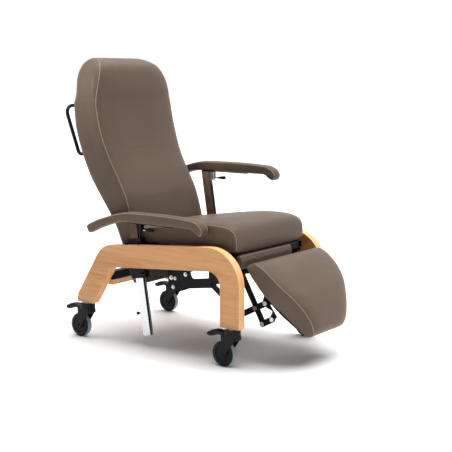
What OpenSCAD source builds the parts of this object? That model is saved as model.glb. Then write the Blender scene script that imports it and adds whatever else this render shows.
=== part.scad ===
// Reclining care chair: beech side frames on braked casters, a hinged back,
// a linkage-carried leg rest and two armrests that slide on tilted posts.
// The chair faces -Y, +X is the sitter's left, and the floor is at Z = 0.

/* [Chair] */
// Width over the outer faces of the side frames
overall_w = 614; // [590:2:660]
// Height of the underside of the seat cushion
seat_h = 437; // [425:1:450]
// Gap between the seat cushion and the side frames
seat_side_gap = 31; // [30:1:45]
// Clearance between a soft part and the piece that carries it
soft_gap = 0.3; // [0.2:0.1:0.6]
// Radial clearance of a pin in its bore
pin_gap = 0.05; // [0.03:0.01:0.09]

/* [Side frames] */
// Thickness of the beech side frames
frame_t = 36; // [30:1:36]
// Width of the front leg, seen from the side
leg_w = 90; // [80:1:96]
// Height of the beam's top edge, above the front leg, over the seat cushion's underside
beam_rise = 27; // [19:1:33]
// Width of the beam, seen from the side
beam_w = 92; // [84:1:96]
// Fall of the beam towards the rear, in degrees
beam_fall = 4.6; // [3.8:0.1:5]
// Outer radius of the front bend
front_bend_r = 142; // [120:1:150]
// Inner radius of the front bend
inner_bend_r = 54; // [40:1:60]
// Radius of the rear bend
rear_bend_r = 100; // [70:1:110]

/* [Casters] */
// Wheel diameter
wheel_d = 100; // [96:1:104]
// Tyre width
tyre_w = 30; // [26:1:31]
// Height of the frame's feet above the floor
foot_h = 154; // [152:1:160]
// Distance of the wheel's axle behind its swivel stem
caster_trail = 40; // [34:1:42]
// Diameter of the swivel stem
stem_d = 12; // [10:0.5:14]
// Distance between the front and the rear stems
wheelbase = 767; // [755:1:767]

/* [Back] */
// Gap between the back, at the height of the seat, and the side frames
back_side_gap = 35; // [35:1:44]
// Thickness of the back's plywood board
board_t = 9; // [7:0.5:10]
// Depth of the back frame's side rails
back_rail_d = 24; // [20:1:25]
// Wall of the rear cover
cover_t = 7; // [5:0.5:8]
// Diameter of the push bar
bar_d = 16; // [14:0.5:20]
// Distance between the two sides of the push bar
bar_w = 400; // [360:2:410]

/* [Leg rest] */
// Length of the long link from its frame pivot to the crossing pin
link_len = 147; // [140:1:150]
// Length of the long link beyond the crossing pin
link_tail = 66; // [62:1:68]
// Width of the flat link bars
link_w = 24; // [20:1:26]
// Thickness of the flat link bars
link_t = 5; // [4:0.5:6]
// Gap between neighbouring layers of bars
layer_gap = 1; // [0.6:0.1:1.4]
// Diameter of the link pins
pin_d = 10; // [8:0.5:11]
// Thickness of the leg rest's board
leg_board_t = 10; // [8:0.5:11]

/* [Armrests] */
// Depth of the armrest posts, front to back
post_d = 40; // [36:1:40]
// Width of the armrest posts, side to side
post_w = 20; // [18:0.5:20]
// Length of the armrest posts along their axis
post_len = 467; // [440:1:467]
// Tilt of the posts from the vertical, in degrees
post_tilt = 9; // [7:0.5:10]
// Travel of an armrest along its post
arm_travel = 173; // [150:1:173]
// Width of the armrest pads
arm_pad_w = 50; // [46:1:50]
// Height of the guide sleeves
sleeve_len = 164; // [140:2:164]

/* [Hidden] */
$fn = 48;

// Front to back position of the chair's middle, measured from the front stems
mid_y = 356;
half_w = overall_w / 2;
inner_x = half_w - frame_t;
// The profiles are drawn for a seat at this height and frames this far from the middle
drawn_seat_h = 437;
drawn_inner_x = 271;
seat_rise = seat_h - drawn_seat_h;
widen = inner_x - drawn_inner_x;
seat_half_w = inner_x - seat_side_gap;
back_half_w = inner_x - back_side_gap;
beam_top = drawn_seat_h + beam_rise;
foot_z = foot_h - seat_rise;
wood = "#c89664";
steel = "#232323";
leather = "#6b5d52";
leather_dark = "#594c43";
bright = "#c9cccd";
silver = "#d3d6d8";
bar_black = "#161616";
ply = "#b08d62";

// Side of the chair: right is -X, left is +X
right = -1;
left = 1;

// Outlines and lofts

function unit(v) = v / norm(v);
function short_way(a) = a > 180 ? a - 360 : a < -180 ? a + 360 : a;

// Points of the round corner p between the neighbours a and b
function corner(a, p, b, r, n = 10) =
  r == 0 ? [p] :
  let (
    u = unit(a - p), v = unit(b - p), half = acos(u * v) / 2,
    reach = r / tan(half), c = p + unit(u + v) * (r / sin(half)),
    from = p + u * reach - c, to = p + v * reach - c,
    start = atan2(from.y, from.x), sweep = short_way(atan2(to.y, to.x) - start)
  )
  [for (i = [0:n]) c + r * [cos(start + sweep * i / n), sin(start + sweep * i / n)]];

// Outline through corners given as [x, y, radius]
function rounded(c) = let (k = len(c))
  [for (i = [0:k - 1]) let (a = c[(i + k - 1) % k], p = c[i], b = c[(i + 1) % k])
    each corner([a.x, a.y], [p.x, p.y], [b.x, b.y], p.z)];

// Outline of a flat bar with round ends between two pins
function bar_outline(a, b, w, n = 12) = let (s = atan2(b.y - a.y, b.x - a.x)) concat(
  [for (i = [0:n]) b + w / 2 * [cos(s - 90 + 180 * i / n), sin(s - 90 + 180 * i / n)]],
  [for (i = [0:n]) a + w / 2 * [cos(s + 90 + 180 * i / n), sin(s + 90 + 180 * i / n)]]);

// Extra stations between the given ones, along a smooth curve
function between(a, b, c, d, t) = 0.5 * (2 * b + (c - a) * t
  + (2 * a - 5 * b + 4 * c - d) * t * t + (3 * b - a - 3 * c + d) * t * t * t);
function smoothed(s, k) = let (m = len(s) - 1) concat(
  [for (i = [0:m - 1]) for (j = [0:k - 1])
    between(s[max(i - 1, 0)], s[i], s[i + 1], s[min(i + 2, m)], j / k)], [s[m]]);

// A (y, z) outline, extruded along X from x0
module along_x(x0, w) {
  translate([x0, 0, 0]) rotate([90, 0, 90]) linear_extrude(w) children();
}

// A round bar along X
module rod_x(p, r, x0, x1) {
  translate([x0, p.x, p.y]) rotate([0, 90, 0]) cylinder(r = r, h = x1 - x0);
}

module on_side(side) {
  mirror([side < 0 ? 1 : 0, 0, 0]) children();
}

module both_sides() {
  for (side = [right, left]) on_side(side) children();
}

// Places the chair so that its middle is over the origin and its seat at its height
module placed() {
  translate([0, -mid_y, seat_rise]) children();
}

// The same for what stands on the floor, whatever the seat's height
module on_floor() {
  translate([0, -mid_y, 0]) children();
}

// A solid through closed rings that have the same number of points
module loft(rings) {
  n = len(rings[0]);
  m = len(rings);
  faces = concat(
    [[for (j = [0:n - 1]) j]],
    [for (i = [0:m - 2]) for (j = [0:n - 1]) each let (
      a = i * n + j, b = i * n + (j + 1) % n) [[a, a + n, b + n], [a, b + n, b]]],
    [[for (j = [n - 1:-1:0]) (m - 1) * n + j]]);
  polyhedron(points = [for (r = rings) each r], faces = faces);
}

// Signed power, for the squared section of a cushion
function spow(v, e) = sign(v) * pow(abs(v), e);

// One ring of a cushion: a is the carried edge and b the sat-on edge in (y, z),
// w the half width at b and w + flare at a; the sides pull in by pinch, the top swells by crown
function pad_ring(a, b, w, x0 = 0, crown = 6, pinch = 0.015, square = 0.3, flare = 0, n = 28) =
  let (c = (a + b) / 2, h = (b - a) / 2, up = unit(b - a))
  [for (i = [0:n - 1]) let (
    t = 360 * (i + 0.5) / n, v = spow(sin(t), square), q = spow(cos(t), square),
    u = (w + flare * (1 - v) / 2) * q * (1 - pinch * (1 - v * v)),
    p = c + h * v + up * (v > 0 ? crown * (1 - q * q) : 0))
    [x0 + u, p.x, p.y]];

// Side frames

beam_slope = tan(beam_fall);
stem_y_front = -3;
leg_front_y = stem_y_front - leg_w / 2 + 3;
stem_y_rear = stem_y_front + wheelbase;
// Corners of the rear leg, from the rear stem: the foot, its clipped heel and its slant
rear_heel = [stem_y_rear + 44, 36];
rear_toe_y = stem_y_rear - 48;
rear_slant = 0.646;
crotch_y = stem_y_rear - 158;

function beam_z(y) = beam_top - beam_slope * y;
rear_top_y = let (k = rear_slant, heel_z = foot_z + rear_heel.y)
  (rear_heel.x - 7 - k * (beam_top - heel_z)) / (1 - k * beam_slope);
beam_drop = beam_w / cos(beam_fall);

module side_frame(side) {
  frame_outline = rounded([
    [leg_front_y, foot_z, 2],
    [leg_front_y, beam_z(leg_front_y), front_bend_r],
    [rear_top_y, beam_z(rear_top_y), rear_bend_r],
    [rear_heel.x - 7, foot_z + rear_heel.y, 14],
    [rear_heel.x, foot_z, 3],
    [rear_toe_y, foot_z, 3],
    [crotch_y, beam_z(crotch_y) - beam_drop, 6],
    [leg_front_y + leg_w, beam_z(leg_front_y + leg_w) - beam_drop, inner_bend_r],
    [leg_front_y + leg_w, foot_z, 2]]);
  color(wood) placed() on_side(side) difference() {
    along_x(inner_x, frame_t) polygon(frame_outline);
    for (y = [stem_y_front, stem_y_rear])
      translate([caster_x, y, foot_z - 1])
        cylinder(r = stem_d / 2 + pin_gap, h = stem_hold + 2);
    for (p = sleeve_bolts) at_post() translate([inner_x - 1, p.x, p.y])
      rotate([0, 90, 0]) cylinder(r = bolt_d / 2 + pin_gap, h = bolt_hold + 1);
  }
}

// Cross members

tube_h = 25;
tube_d = 40;
tube_wall = 2.5;
seat_board_t = 12;
rail_h = 28;
rail_w = 25;
rail_x = inner_x - 75;
board_z = drawn_seat_h - seat_board_t;
rail_z = board_z - rail_h;
seat_front_y = 20;
seat_bar_y = 250;
seat_rail_end_y = 478;
notch_gap = 0.3;

// A square tube from one side frame to the other
module cross_tube(y, z, d, h) {
  difference() {
    translate([-inner_x, y, z]) cube([2 * inner_x, d, h]);
    translate([-inner_x - 1, y + tube_wall, z + tube_wall])
      cube([2 * inner_x + 2, d - 2 * tube_wall, h - 2 * tube_wall]);
  }
}

spring_front = [120, 350];
spring_lug = [515, 330];
spring_pin_d = 8;
spring_eye_gap = 3.5;
cheek_t = 4;
cheek_x = 9.5;

// Two cheeks and the pin that hold an end of the gas spring
module clevis(outline, p) {
  both_sides() along_x(cheek_x, cheek_t) polygon(outline);
  rod_x(p, spring_pin_d / 2, -cheek_x, cheek_x);
}

front_tube_y = 60;
module front_cross_tube() {
  lug = rounded([[front_tube_y + 6, rail_z - tube_h, 0],
    [front_tube_y + 6, rail_z - tube_h - 6, 6],
    [spring_front.x - 4, spring_front.y - 12, 10],
    [spring_front.x + 13, spring_front.y - 6, 9],
    [spring_front.x + 8, spring_front.y + 14, 9],
    [front_tube_y + tube_d, rail_z - tube_h, 0]]);
  color(steel) placed() {
    cross_tube(front_tube_y, rail_z - tube_h, tube_d, tube_h);
    clevis(lug, spring_front);
  }
}

// The back turns about this line, in (y, z)
back_pivot = [535, drawn_seat_h - 22];
back_pin_d = 12;
lug_t = 6;
lug_x = inner_x - 49;
arm_x = lug_x - 1 - lug_t;
middle_tube_y = 400;

module middle_cross_tube() {
  lug = rounded([[middle_tube_y, rail_z, 0],
    [middle_tube_y, rail_z + rail_h, 8],
    [back_pivot.x - 10, back_pivot.y + 15, 6],
    [back_pivot.x + 15, back_pivot.y + 15, 14],
    [back_pivot.x + 15, back_pivot.y - 16, 14],
    [middle_tube_y + tube_d + 24, rail_z - 6, 20],
    [middle_tube_y + tube_d, rail_z - 12, 0],
    [middle_tube_y + tube_d, rail_z, 0]]);
  color(steel) placed() {
    cross_tube(middle_tube_y, rail_z - tube_h, tube_d, tube_h);
    both_sides() difference() {
      along_x(lug_x, lug_t) polygon(lug);
      rod_x(back_pivot, back_pin_d / 2 + pin_gap, lug_x - 1, lug_x + lug_t + 1);
    }
  }
}

rear_tube = [628, 262];
module rear_cross_tube() {
  color(steel) placed() cross_tube(rear_tube.x, rear_tube.y, 34, 34);
}

module rear_wood_rail() {
  color(wood) placed() along_x(-inner_x, 2 * inner_x)
    polygon(rounded([[rear_tube.x + 2, rear_tube.y - 22, 3], [rear_tube.x + 30, rear_tube.y - 22, 3],
      [rear_tube.x + 30, rear_tube.y, 0], [rear_tube.x + 2, rear_tube.y, 0]]));
}

// Seat

module seat_frame() {
  color(steel) placed() {
    both_sides() difference() {
      translate([rail_x, seat_front_y, rail_z])
        cube([rail_w, seat_rail_end_y - seat_front_y, rail_h]);
      translate([rail_x + tube_wall, seat_front_y - 1, rail_z + tube_wall])
        cube([rail_w - 2 * tube_wall, seat_rail_end_y - seat_front_y + 2, rail_h - 2 * tube_wall]);
    }
    for (y = [seat_front_y, seat_bar_y, seat_rail_end_y - rail_w])
      translate([-rail_x, y, rail_z]) cube([2 * rail_x, rail_w, rail_h]);
  }
}

module seat_board() {
  color(ply) placed() difference() {
    translate([-lug_x + 4, seat_front_y + 4, board_z])
      cube([2 * lug_x - 8, 480, seat_board_t]);
    for (x = [-120, 0, 120]) for (y = [150, 350]) translate([x, y, board_z - 1])
      cylinder(d = 30, h = seat_board_t + 2);
  }
}

// Stations from front to rear: bottom height, top height, half width
seat_stations = [
  [21, 8, 46, -8], [23, 4, 58, -5], [30, 1, 77, -2], [46, 0, 91, 0], [80, 0, 99, 0],
  [160, 0, 101, 0], [250, 0, 92, 0], [350, 0, 78, 0], [430, 0, 66, 0], [498, 0, 56, -1],
  [520, 3, 50, -3], [529, 16, 40, -9]];

module seat_cushion() {
  color(leather) placed() loft([for (s = smoothed(seat_stations, 3))
    pad_ring([s.x, drawn_seat_h + soft_gap + s.y], [s.x, drawn_seat_h + s.z], seat_half_w + s[3],
      crown = 7, square = 0.3)]);
}

panel_x = [-232 - widen, 115];
panel_z = [drawn_seat_h - 69, drawn_seat_h - 15];
module seat_front_panel() {
  color(leather_dark) placed() along_x(panel_x[0], panel_x[1] - panel_x[0])
    polygon(rounded([[seat_front_y, panel_z[0], 4], [seat_front_y, panel_z[1], 4],
      [seat_front_y - 16, panel_z[1], 8], [seat_front_y - 23, panel_z[1] - 22, 30],
      [seat_front_y - 17, panel_z[0], 9]]));
}

// Link plates, links and leg rest. Pins are in (y, z)

plate_t = 6;
plate_x = rail_x - plate_t;
inner_layer = rail_x + layer_gap;
outer_layer = inner_layer + link_t + layer_gap;
head_x = outer_layer + link_t + 0.5;
head_d = 18;
head_t = 4;

link_dir = unit([-113, -201]);
frame_pin = [22, 352];
control_pin = frame_pin + [69, -36];
stop_boss = [172, 286];
cross_dir = unit(control_pin - frame_pin);
cross_pin = frame_pin + link_dir * link_len;
tail_pin = cross_pin + link_dir * link_tail;
rear_pin = cross_pin + (control_pin - frame_pin);
pad_reach = 52;
pad_pin = cross_pin - cross_dir * pad_reach;
pad_tail_pin = pad_pin + (tail_pin - cross_pin);

// A pin that stands out of one layer, through the next, with its head
module link_pin(p, from, shoulder) {
  rod_x(p, pin_d / 2, from, shoulder);
  rod_x(p, head_d / 2, shoulder, shoulder + head_t);
}

module link_bar(layer, a, b, holes) {
  difference() {
    along_x(layer, link_t) polygon(bar_outline(a, b, link_w));
    for (p = holes) rod_x(p, pin_d / 2 + pin_gap, layer - 1, layer + link_t + 1);
  }
}

module link_plate(side) {
  plate = rounded([[seat_front_y, board_z, 0], [seat_front_y, frame_pin.y + 15, 2],
    [frame_pin.x - 15, frame_pin.y + 14, 8], [frame_pin.x - 15, frame_pin.y - 15, 14],
    [frame_pin.x + 15, frame_pin.y - 15, 14],
    [frame_pin.x + 37, frame_pin.y - 8, 10], [control_pin.x - 17, control_pin.y - 15, 12],
    [control_pin.x + 15, control_pin.y - 16, 12], [stop_boss.x - 16, stop_boss.y + 2, 4],
    [stop_boss.x - 84, stop_boss.y - 42, 10], [stop_boss.x - 71, stop_boss.y - 64, 10],
    [stop_boss.x - 1, stop_boss.y - 14, 12], [281, 256, 20], [330, 238, 20], [394, 236, 18],
    [396, 330, 10], [396, board_z, 3]]);
  window = rounded([[185, 309, 5], [270, 296, 14], [284, 322, 20], [262, 346, 16], [185, 344, 5]]);
  color(steel) placed() on_side(side) {
    difference() {
      along_x(plate_x, plate_t) polygon(plate);
      along_x(plate_x - 1, plate_t + 2) polygon(window);
      for (p = plate_holes) rod_x(p, 6, plate_x - 1, plate_x + plate_t + 1);
      for (y = [seat_front_y, seat_bar_y]) translate([0, y - notch_gap, rail_z - notch_gap])
        cube([rail_x + 1, rail_w + 2 * notch_gap, 2 * rail_h]);
      translate([0, front_tube_y - notch_gap, rail_z - tube_h - notch_gap])
        cube([rail_x + 1, tube_d + 2 * notch_gap, tube_h + 2 * notch_gap]);
    }
    for (p = [frame_pin, control_pin])
      link_pin(p, plate_x + plate_t, inner_layer + link_t + 0.4);
    rod_x(stop_boss, 7, plate_x + plate_t, plate_x + plate_t + head_t);
  }
}
plate_holes = [[345, 262], [372, 300], [345, 340]];

module long_link(side) {
  color(steel) placed() on_side(side) {
    link_bar(inner_layer, frame_pin, tail_pin, [frame_pin]);
    for (p = [cross_pin, tail_pin]) link_pin(p, inner_layer + link_t, head_x);
  }
}

module cross_links() {
  color(steel) placed() both_sides()
    link_bar(outer_layer, rear_pin, pad_pin, [rear_pin, cross_pin, pad_pin]);
}

module control_links() {
  color(steel) placed() both_sides() {
    link_bar(inner_layer, control_pin, rear_pin, [control_pin]);
    link_pin(rear_pin, inner_layer + link_t, head_x);
  }
}

module pad_links() {
  color(steel) placed() both_sides()
    link_bar(outer_layer, tail_pin, pad_tail_pin, [tail_pin, pad_tail_pin]);
}

// The leg rest's board lies along this line from its top edge, in (y, z)
board_top = [-34, 349];
board_dir = unit([-177, -237]);
board_out = [-board_dir.y, board_dir.x] * -1;
function on_board(along, out) = board_top + board_dir * along - board_out * out;

module leg_rest_frame() {
  half = inner_layer + link_t - 1;
  outline = rounded([[-half, 14, 12], [-half, 110, 60], [34 - half, 190, 90], [90 - half, 280, 30],
    [half - 90, 280, 30], [half - 34, 190, 90], [half, 110, 60], [half, 14, 12]]);
  cheek = rounded([[on_board(88, 0).x, on_board(88, 0).y, 0],
    [pad_pin.x + 16.4, pad_pin.y + 4.6, 10], [pad_pin.x - 1, pad_pin.y - 17, 8],
    [pad_pin.x - 30, pad_pin.y - 27, 4], [pad_tail_pin.x + 12, pad_tail_pin.y + 10, 8],
    [pad_tail_pin.x + 4.6, pad_tail_pin.y - 16.4, 10], [on_board(185, 0).x, on_board(185, 0).y, 0]]);
  color(steel) placed() {
    leg_board_place() linear_extrude(leg_board_t) polygon(outline);
    both_sides() {
      along_x(inner_layer, link_t) polygon(cheek);
      for (p = [pad_pin, pad_tail_pin]) link_pin(p, inner_layer + link_t, head_x);
    }
    rod_x(pad_pin, link_w / 2 - 1, -inner_layer, inner_layer);
  }
}

// Puts a flat outline (x, distance down the board) onto the leg rest's board
module leg_board_place() {
  tilt = atan2(-board_dir.y, -board_dir.x);
  translate([0, board_top.x, board_top.y]) rotate([tilt, 0, 0]) mirror([0, 1, 0]) children();
}

// Stations down the leg rest: distance along the board, seam point and half width
leg_stations = [
  [-40, -44, 394, 208], [-37, -54, 400, 222], [-28, -67, 401, 230], [-14, -84, 396, 234],
  [7, -107, 384, 234], [54, -145, 354, 230], [100, -177, 321, 221], [145, -208, 288, 199],
  [175, -224, 262, 181], [205, -239, 235, 163], [237, -251, 205, 146], [264, -258, 177, 131],
  [288, -259, 149, 118], [300, -252, 131, 108], [303, -244, 122, 98]];

module leg_rest_pad() {
  color(leather) placed() loft([for (s = smoothed(leg_stations, 2))
    pad_ring(on_board(s.x, -leg_board_t - soft_gap), [s.y, s.z], s[3] + widen, crown = 6, square = 0.2,
      flare = 13)]);
}

// Back. Stations from the skirt to the head: front point, rear point,
// half width beyond the back's own, and how much of the depth the cushion takes

back_core = board_t + back_rail_d + cover_t + 6;
back_stations = [
  [500, 250, 562, 250, -2], [521, 340, 592, 330, -1], [535, 405, 614, 390, 0],
  [546, 455, 632, 432, 0], [560, 525, 664, 498, 0], [584, 608, 720, 574, 0],
  [612, 660, 755, 622, 1], [640, 710, 786, 668, 2], [668, 760, 812, 718, 4],
  [697, 826, 838, 790, 10], [722, 908, 866, 888, 13], [740, 995, 875, 990, 13],
  [741, 1045, 874, 1044, 5], [749, 1096, 882, 1095, -9], [766, 1138, 880, 1141, -35],
  [791, 1158, 869, 1167, -62], [821, 1170, 850, 1178, -84]];
cushion_from = 3;
core_to = 11;
head_gap = 1.5;

function back_front(s) = [s[0], s[1]];
function back_rear(s) = [s[2], s[3]];
function back_into(s) = unit(back_rear(s) - back_front(s));
function back_depth(s) = norm(back_rear(s) - back_front(s));
function back_at(s, t) = back_front(s) + back_into(s) * t;
function back_w(s) = back_half_w + s[4];
// Depth at which the board starts, behind the cushion
function core_start(s) = back_depth(s) - back_core;

// The head starts just above the cover and reaches back over it
head_stations = concat([back_stations[core_to] + [0, head_gap, 0, head_gap, 0]],
  [for (i = [core_to + 1:len(back_stations) - 1]) back_stations[i]]);
core_stations = smoothed([for (i = [0:core_to]) back_stations[i]], 2);
padded_stations = smoothed([for (i = [cushion_from:core_to]) back_stations[i]], 2);

module back_cushion() {
  body = [for (s = padded_stations)
    pad_ring(back_at(s, core_start(s) - soft_gap), back_front(s), back_w(s), crown = 9, square = 0.26)];
  head = [for (s = smoothed(head_stations, 3))
    pad_ring(back_rear(s), back_front(s), back_w(s), crown = 9, square = 0.26)];
  color(leather) placed() loft(concat(body, head));
}

// A strip that follows the back between two depths behind the cushion
function back_strip(t0, t1, list) = concat(
  [for (s = list) back_at(s, core_start(s) + t0)],
  [for (i = [len(list) - 1:-1:0]) back_at(list[i], core_start(list[i]) + t1)]);

rail_list = [for (i = [0:len(core_stations) - 3]) core_stations[i]];
back_rail_w = 25;
back_rail_x = arm_x - back_rail_w;

module back_board() {
  color(ply) placed() difference() {
    along_x(-back_rail_x - 12, 2 * back_rail_x + 24)
      polygon(back_strip(0.5, board_t + 0.5, rail_list));
    translate([-cheek_x - cheek_t - 1, spring_lug.x - 20, spring_lug.y - 20])
      cube([2 * (cheek_x + cheek_t + 1), 80, 42]);
  }
}

module back_frame() {
  rail = back_strip(board_t + 1, board_t + 1 + back_rail_d, rail_list);
  bars = [2, 4, 11, 18];
  arm = rounded([[back_pivot.x - 15, back_pivot.y - 15, 14], [back_pivot.x - 15, back_pivot.y + 15, 14],
    [back_pivot.x + 15, back_pivot.y + 15, 14], [600, 440, 4], [596, 384, 4]]);
  lug = rounded([[spring_lug.x - 11, spring_lug.y - 11, 10], [spring_lug.x - 11, spring_lug.y + 11, 10],
    [spring_lug.x + 10, spring_lug.y + 12, 4], [575, 345, 0], [570, 314, 0]]);
  color(steel) placed() {
    both_sides() {
      along_x(back_rail_x, back_rail_w) polygon(rail);
      difference() {
        along_x(arm_x, lug_t) polygon(arm);
        rod_x(back_pivot, back_pin_d / 2 + pin_gap, arm_x - 1, arm_x + lug_t + 1);
      }
    }
    for (i = bars) let (p = back_at(rail_list[i], core_start(rail_list[i]) + board_t + 1 + back_rail_d / 2))
      rod_x(p, back_rail_d / 2 - 1, -back_rail_x, back_rail_x);
    clevis(lug, spring_lug);
  }
}

// One ring of the rear cover: a channel that is open towards the cushion
function cover_ring(s) = let (
    w = back_w(s), d = back_depth(s), t0 = core_start(s) + 0.5, k = cover_t, r = 24,
    turn = [for (a = [0:18:90]) a],
    outer = concat([[-w, t0]], [for (a = turn) [-w + r - r * cos(a), d - r + r * sin(a)]],
      [for (a = turn) [w - r + r * sin(a), d - r + r * cos(a)]], [[w, t0]]),
    inner = concat([[w - k, t0]],
      [for (a = turn) [w - r + (r - k) * cos(a), d - r + (r - k) * sin(a)]],
      [for (a = turn) [-w + r - (r - k) * sin(a), d - r + (r - k) * cos(a)]], [[-w + k, t0]]))
  [for (q = concat(outer, inner)) let (p = back_at(s, q.y)) [q.x, p.x, p.y]];

module back_cover() {
  color(leather_dark) placed() loft([for (s = core_stations) cover_ring(s)]);
}

// Push bar: two stands that leave the rear of the back, and the grip across
bar_foot = [835.2, 781.5];
bar_knee = [884, 764];
bar_top = [966, 974];
bar_bend = 44;
knee_r = 22;

// Points and directions along a bend of radius r from u to v around the corner p
function bend(p, u, v, r, n) = let (
    turn = acos(u * v), side = unit(v - u * (u * v)),
    c = p - u * r * tan(turn / 2) + side * r)
  [for (i = [0:n]) let (a = turn * i / n)
    [c - side * r * cos(a) + u * r * sin(a), u * cos(a) + side * sin(a)]];

// A round ring across the direction t; across is never parallel to t
function ring(p, t, r, across, n = 16) = let (a = unit(cross(t, across)), b = cross(a, t))
  [for (i = [0:n - 1]) p + r * (a * cos(360 * i / n) + b * sin(360 * i / n))];

function bar_point(p, side) = [side * bar_w / 2, p.x, p.y];

module push_bar() {
  out = unit(bar_point(bar_knee, 0) - bar_point(bar_foot, 0));
  up = unit(bar_point(bar_top, 0) - bar_point(bar_knee, 0));
  stations = concat([[bar_point(bar_foot, left), out]],
    bend(bar_point(bar_knee, left), out, up, knee_r, 4),
    bend(bar_point(bar_top, left), up, [-1, 0, 0], bar_bend, 6),
    bend(bar_point(bar_top, right), [-1, 0, 0], -up, bar_bend, 6),
    bend(bar_point(bar_knee, right), -up, -out, knee_r, 4),
    [[bar_point(bar_foot, right), -out]]);
  color(bar_black) placed() loft([for (s = stations)
    ring(s[0], s[1], bar_d / 2, [0, up.z, -up.y])]);
}

module back_pivot_pins() {
  color(bright) placed() both_sides() {
    rod_x(back_pivot, back_pin_d / 2, arm_x - 3, lug_x + lug_t);
    rod_x(back_pivot, back_pin_d / 2 + 4, arm_x - 8, arm_x - 3);
    rod_x(back_pivot, back_pin_d / 2 + 3, lug_x + lug_t, lug_x + lug_t + 1.2);
  }
}

// Gas spring, along its own axis from the front pin

spring_reach = norm(spring_lug - spring_front);
spring_aim = atan2(spring_lug.y - spring_front.y, spring_lug.x - spring_front.x);
spring_tube_d = 22;
spring_tube_end = 214;
spring_rod_d = 10;
eye_w = 16;
eye_block = 18;

module at_spring() {
  translate([0, spring_front.x, spring_front.y]) rotate([spring_aim - 90, 0, 0]) children();
}

module gas_spring_cylinder() {
  color(steel) placed() at_spring() difference() {
    union() {
      translate([0, 0, eye_block]) cylinder(d = spring_tube_d, h = spring_tube_end - eye_block);
      rotate([0, 90, 0]) translate([0, 0, -eye_w / 2]) cylinder(d = 22, h = eye_w);
      translate([-eye_w / 2, -7, 0]) cube([eye_w, 14, eye_block + 3]);
    }
    rotate([0, 90, 0]) translate([0, 0, -eye_w]) cylinder(d = spring_pin_d + 2 * pin_gap, h = 2 * eye_w);
    translate([0, 0, 60]) cylinder(d = spring_tube_d - 3, h = spring_tube_end - 68);
    translate([0, 0, 60]) cylinder(d = spring_rod_d + 2 * pin_gap, h = spring_tube_end);
  }
}

module gas_spring_rod() {
  eye_d = spring_pin_d + 2 * spring_eye_gap;
  color(bright) placed() at_spring() difference() {
    union() {
      translate([0, 0, 150]) cylinder(d = spring_rod_d, h = spring_reach - 150 - eye_d / 2);
      translate([0, 0, spring_reach]) rotate([0, 90, 0]) translate([0, 0, -eye_w / 2])
        cylinder(d = eye_d + 9, h = eye_w);
    }
    translate([0, 0, spring_reach]) rotate([0, 90, 0]) translate([0, 0, -eye_w])
      cylinder(d = eye_d, h = 2 * eye_w);
  }
}

// Armrests, along the tilted post; the right one is drawn lowered, the left one raised

post_centre = [502, 366];
post_x = inner_x - 14;
post_low = -320;
sleeve_w = 28;
sleeve_d = 75;
fit_gap = 0.3;
bolt_d = 8;
bolt_hold = 20;
bolt_head_t = 3.5;
cable_d = 4;
// Floor of the groove in the post's front, in which the cable lies
groove_y = 3 - post_d / 2;
cable_y = groove_y - cable_d / 2 - 0.2;
cable_len = 388;
arm_plate_t = 4;
arm_under_z = 514;
stop_z = -228;
// Bolts through each sleeve; the lower rear one stays above the raised stop bolt
bolt_y = 31;
bolt_edge = 20;
sleeve_bolts = [[-bolt_y, bolt_edge - sleeve_len / 2], [-bolt_y, sleeve_len / 2 - bolt_edge],
  [bolt_y, stop_z + arm_travel + 2 * bolt_d + 1], [bolt_y, sleeve_len / 2 - bolt_edge]];

module at_post() {
  translate([0, post_centre.x, post_centre.y]) rotate([-post_tilt, 0, 0]) children();
}

// Lifts the left armrest to where it stands at rest
module arm_place(side) {
  lift = side == left ? arm_travel : 0;
  placed() on_side(side)
    translate([0, lift * sin(post_tilt), lift * cos(post_tilt)]) children();
}

module post_sleeve(side) {
  color(steel) placed() on_side(side) at_post() difference() {
    translate([inner_x - sleeve_w, -sleeve_d / 2, -sleeve_len / 2])
      cube([sleeve_w, sleeve_d, sleeve_len]);
    translate([post_x - post_w / 2 - fit_gap, -post_d / 2 - fit_gap, -sleeve_len])
      cube([post_w + 2 * fit_gap, post_d + 2 * fit_gap, 2 * sleeve_len]);
    translate([post_x - cable_d, -sleeve_d, -sleeve_len])
      cube([2 * cable_d, sleeve_d, 2 * sleeve_len]);
    translate([post_x - bolt_d / 2 - 1, 0, -sleeve_len])
      cube([bolt_d + 2, sleeve_d, sleeve_len + stop_z + arm_travel + bolt_d / 2 + 1]);
    for (p = sleeve_bolts) translate([inner_x - sleeve_w - 1, p.x, p.y])
      rotate([0, 90, 0]) cylinder(r = bolt_d / 2 + pin_gap, h = sleeve_w + 2);
  }
}

module arm_post(side) {
  wall = 2.5;
  color(silver) arm_place(side) difference() {
    at_post() difference() {
      translate([post_x - post_w / 2, -post_d / 2, post_low]) cube([post_w, post_d, post_len + 10]);
      translate([post_x - post_w / 2 + wall, -post_d / 2 + wall + 3, post_low - 1])
        cube([post_w - 2 * wall, post_d - 2 * wall - 3, post_len + 20]);
      translate([post_x - cable_d, -post_d / 2 - 1, post_low - 1])
        cube([2 * cable_d, groove_y + post_d / 2 + 1, post_len + 20]);
      translate([post_x, post_d / 2 - wall - 1, stop_z]) rotate([-90, 0, 0])
        cylinder(r = bolt_d / 2 + pin_gap, h = wall + 2);
    }
    translate([0, 300, arm_under_z - arm_plate_t]) cube([400, 400, 100]);
  }
}

module arm_stop_bolt(side) {
  color(bright) arm_place(side) at_post() translate([post_x, post_d / 2 - 3, stop_z]) rotate([-90, 0, 0]) {
    cylinder(d = bolt_d, h = 22);
    translate([0, 0, 22]) cylinder(d = 13, h = 5);
  }
}

lever_pivot = [488, 482];
lever_pin_d = 5;
bracket_w = 9;
arm_pad_x = post_x + 9.5;

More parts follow.
